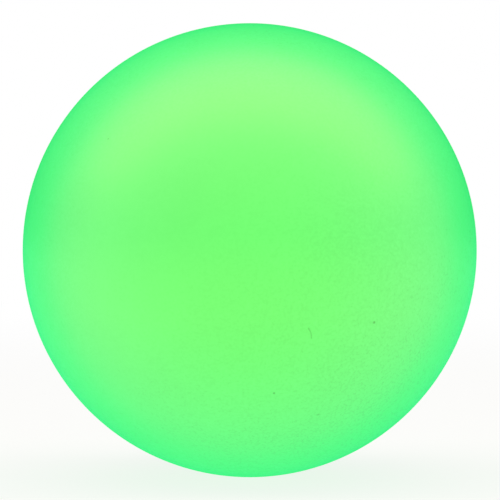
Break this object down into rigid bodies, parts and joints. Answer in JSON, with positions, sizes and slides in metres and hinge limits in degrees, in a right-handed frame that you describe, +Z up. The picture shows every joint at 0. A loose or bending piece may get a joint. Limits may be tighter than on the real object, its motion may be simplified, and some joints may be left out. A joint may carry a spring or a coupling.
{
  "type": "juggling ball",
  "caption": "Soft translucent glow juggling ball lit from inside: moulded shell with a threaded collar, and a screw-in light core with push button, coin cells and LEDs.",
  "frame": {"origin": "centre of the ball", "axes": "+Y along the core's axis out of the plug at the back, +Z up, the ball's lit front looks along -Y"},
  "size_m": [0.07, 0.0691, 0.07],
  "materials": {
    "glow_shell": "translucent soft elastomer, matt, glowing green from the light inside",
    "white_plastic": "moulded white plastic, fine satin texture",
    "grey_plastic": "moulded light grey plastic, satin",
    "soft_button": "soft-touch moulded button, matt",
    "black_rubber": "black nitrile, slightly greased",
    "black_plastic": "moulded black plastic",
    "green_board": "glass-epoxy board under green solder mask",
    "white_board": "glass-epoxy board under white solder mask",
    "nickel": "nickel-plated sheet",
    "zinc_steel": "zinc-plated steel",
    "cell_steel": "brushed stainless cell can",
    "brass": "turned brass",
    "aluminium_can": "drawn aluminium can",
    "resistor": "thick-film chip resistor",
    "frosted_dome": "frosted translucent plastic",
    "led_package": "surface-mount LED, lit green",
    "red_insulation": "red wire insulation",
    "black_insulation": "black wire insulation"
  },
  "bodies": {
    "shell": {"outer_shell": "glow_shell", "threaded_collar": "white_plastic"},
    "seal": {"seal_ring": "black_rubber"},
    "core": {"screw_plug": "white_plastic", "switch_base": "black_plastic", "switch_cover": "nickel", "driver_board": "green_board", "controller_chip": "black_plastic", "capacitor": "aluminium_can", "resistor_1": "resistor", "resistor_2": "resistor", "standoff_1": "brass", "standoff_2": "brass", "core_screw_1": "zinc_steel", "core_screw_2": "zinc_steel", "battery_holder": "grey_plastic", "positive_contact": "nickel", "negative_contact": "nickel", "red_lead": "red_insulation", "black_lead": "black_insulation", "led_board": "white_board", "led_1": "led_package", "led_2": "led_package", "led_3": "led_package", "led_4": "led_package", "led_5": "led_package", "led_6": "led_package", "led_7": "led_package", "led_board_screw_1": "zinc_steel", "led_board_screw_2": "zinc_steel", "diffuser_dome": "frosted_dome"},
    "button": {"push_button": "soft_button"},
    "plunger": {"switch_plunger": "black_plastic"},
    "cell_1": {"battery_cell_1": "cell_steel"},
    "cell_2": {"battery_cell_2": "cell_steel"}
  },
  "joints": [
    {"name": "core_travel", "type": "slide", "parent": "shell", "child": "seal", "axis": [0, 1, 0], "range_m": [0, 0.06]},
    {"name": "core_turn", "type": "hinge", "parent": "seal", "child": "core", "pos_m": [0, 0, 0], "axis": [0, 1, 0], "range_deg": [0, 1800]},
    {"name": "button_press", "type": "slide", "parent": "core", "child": "button", "axis": [0, -1, 0], "range_m": [0, 0.0006], "stiffness_N_per_m": 2000, "springref_m": -0.0004},
    {"name": "plunger_press", "type": "slide", "parent": "core", "child": "plunger", "axis": [0, -1, 0], "range_m": [0, 0.0006]},
    {"name": "cell_1_slide", "type": "slide", "parent": "core", "child": "cell_1", "axis": [1, 0, 0], "range_m": [0, 0.0204]},
    {"name": "cell_2_slide", "type": "slide", "parent": "core", "child": "cell_2", "axis": [1, 0, 0], "range_m": [0, 0.0204]}
  ],
  "couplings": [
    {"joint": "core_turn", "follows": "core_travel", "rad_per_m": 523.6},
    {"joint": "plunger_press", "follows": "button_press", "ratio": 1}
  ]
}
